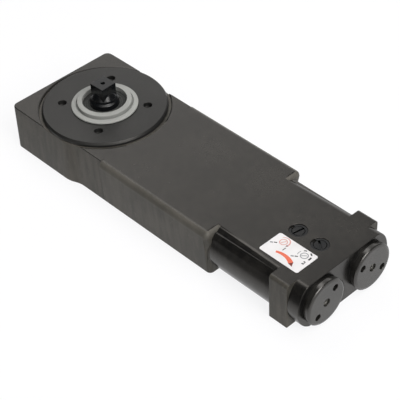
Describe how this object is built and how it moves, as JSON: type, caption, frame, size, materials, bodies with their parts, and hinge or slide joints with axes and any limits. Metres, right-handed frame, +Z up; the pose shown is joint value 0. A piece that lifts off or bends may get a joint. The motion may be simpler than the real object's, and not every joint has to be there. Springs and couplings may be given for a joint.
{
  "type": "concealed transom door closer",
  "caption": "Concealed double-acting door closer: slim twin-bore casting, square-drive spindle under a round cap, two sprung rack pistons, end plugs and speed valves.",
  "frame": {"origin": "on the spindle's axis, in the plane of the casting's underside", "axes": "+Z up the spindle, out of the round cap; +X from the spindle towards the two end plugs; +Y to the left bore"},
  "size_m": [0.2617, 0.0844, 0.0524],
  "materials": {
    "casting_paint": "satin",
    "cap_paint": "satin",
    "blackened_steel": "oiled black",
    "ground_steel": "ground",
    "spring_steel": "peened",
    "shield_plastic": "matt",
    "seal_rubber": "matt",
    "lip_rubber": "matt",
    "label_film": "matt"
  },
  "bodies": {
    "casting": {"body_casting": "casting_paint", "bearing_cap": "cap_paint", "bearing_cap_seal": "seal_rubber", "shield_ring": "shield_plastic", "shaft_seal": "lip_rubber", "lower_bearing_cup": "ground_steel", "upper_bearing_cup": "ground_steel", "thrust_washers": "ground_steel", "end_cap_left": "cap_paint", "end_cap_right": "cap_paint", "end_cap_seal_left": "seal_rubber", "end_cap_seal_right": "seal_rubber", "valve_retaining_rings": "blackened_steel", "dial_label": "label_film", "closing_spring_left": "spring_steel", "closing_spring_right": "spring_steel"},
    "spindle": {"spindle": "blackened_steel"},
    "lower_rollers": {"lower_bearing_rollers": "ground_steel"},
    "upper_rollers": {"upper_bearing_rollers": "ground_steel"},
    "piston_left": {"rack_piston_left": "ground_steel", "piston_seal_left": "seal_rubber", "check_valve_left": "ground_steel"},
    "seat_left": {"spring_seat_left": "ground_steel"},
    "adjuster_left": {"adjusting_screw_left": "ground_steel"},
    "piston_right": {"rack_piston_right": "ground_steel", "piston_seal_right": "seal_rubber", "check_valve_right": "ground_steel"},
    "seat_right": {"spring_seat_right": "ground_steel"},
    "adjuster_right": {"adjusting_screw_right": "ground_steel"},
    "sweep_valve_seal": {"sweep_valve_seal": "seal_rubber"},
    "sweep_valve": {"sweep_valve": "blackened_steel"},
    "latch_valve_seal": {"latch_valve_seal": "seal_rubber"},
    "latch_valve": {"latch_valve": "blackened_steel"}
  },
  "joints": [
    {"name": "spindle_turn", "type": "hinge", "parent": "casting", "child": "spindle", "pos_m": [0, 0, 0.0168], "axis": [0, 0, 1], "range_deg": [-105, 105], "stiffness_Nm_per_rad": 8},
    {"name": "lower_rollers_roll", "type": "hinge", "parent": "casting", "child": "lower_rollers", "pos_m": [0, 0, 0.0168], "axis": [0, 0, 1], "range_deg": [-43, 43]},
    {"name": "upper_rollers_roll", "type": "hinge", "parent": "casting", "child": "upper_rollers", "pos_m": [0, 0, 0.0168], "axis": [0, 0, 1], "range_deg": [-43, 43]},
    {"name": "piston_left_slide", "type": "slide", "parent": "casting", "child": "piston_left", "axis": [1, 0, 0], "range_m": [-0.0166, 0.0166], "deforming": ["closing_spring_left"]},
    {"name": "piston_right_slide", "type": "slide", "parent": "casting", "child": "piston_right", "axis": [1, 0, 0], "range_m": [-0.0166, 0.0166], "deforming": ["closing_spring_right"]},
    {"name": "adjuster_left_turn", "type": "hinge", "parent": "casting", "child": "adjuster_left", "pos_m": [0.2, 0.02, 0.0168], "axis": [1, 0, 0], "range_deg": [-2881, 1153]},
    {"name": "seat_left_slide", "type": "slide", "parent": "casting", "child": "seat_left", "axis": [1, 0, 0], "range_m": [-0.01, 0.004]},
    {"name": "adjuster_right_turn", "type": "hinge", "parent": "casting", "child": "adjuster_right", "pos_m": [0.2, -0.02, 0.0168], "axis": [1, 0, 0], "range_deg": [-2881, 1153]},
    {"name": "seat_right_slide", "type": "slide", "parent": "casting", "child": "seat_right", "axis": [1, 0, 0], "range_m": [-0.01, 0.004]},
    {"name": "sweep_valve_slide", "type": "slide", "parent": "casting", "child": "sweep_valve_seal", "axis": [0, 0, 1], "range_m": [-0.0016, 0.0016]},
    {"name": "sweep_valve_turn", "type": "hinge", "parent": "sweep_valve_seal", "child": "sweep_valve", "pos_m": [0.1743, 0, 0.03], "axis": [0, 0, 1], "range_deg": [-721, 721]},
    {"name": "latch_valve_slide", "type": "slide", "parent": "casting", "child": "latch_valve_seal", "axis": [0, 0, 1], "range_m": [-0.0016, 0.0016]},
    {"name": "latch_valve_turn", "type": "hinge", "parent": "latch_valve_seal", "child": "latch_valve", "pos_m": [0.1916, 0, 0.03], "axis": [0, 0, 1], "range_deg": [-721, 721]}
  ],
  "couplings": [
    {"joint": "lower_rollers_roll", "follows": "spindle_turn", "ratio": 0.40065},
    {"joint": "upper_rollers_roll", "follows": "spindle_turn", "ratio": 0.40065},
    {"joint": "piston_left_slide", "follows": "spindle_turn", "m_per_rad": -0.009},
    {"joint": "piston_right_slide", "follows": "spindle_turn", "m_per_rad": 0.009},
    {"joint": "adjuster_left_turn", "follows": "seat_left_slide", "rad_per_m": 5026.5},
    {"joint": "adjuster_right_turn", "follows": "seat_right_slide", "rad_per_m": 5026.5},
    {"joint": "sweep_valve_turn", "follows": "sweep_valve_slide", "rad_per_m": 7854},
    {"joint": "latch_valve_turn", "follows": "latch_valve_slide", "rad_per_m": 7854}
  ]
}
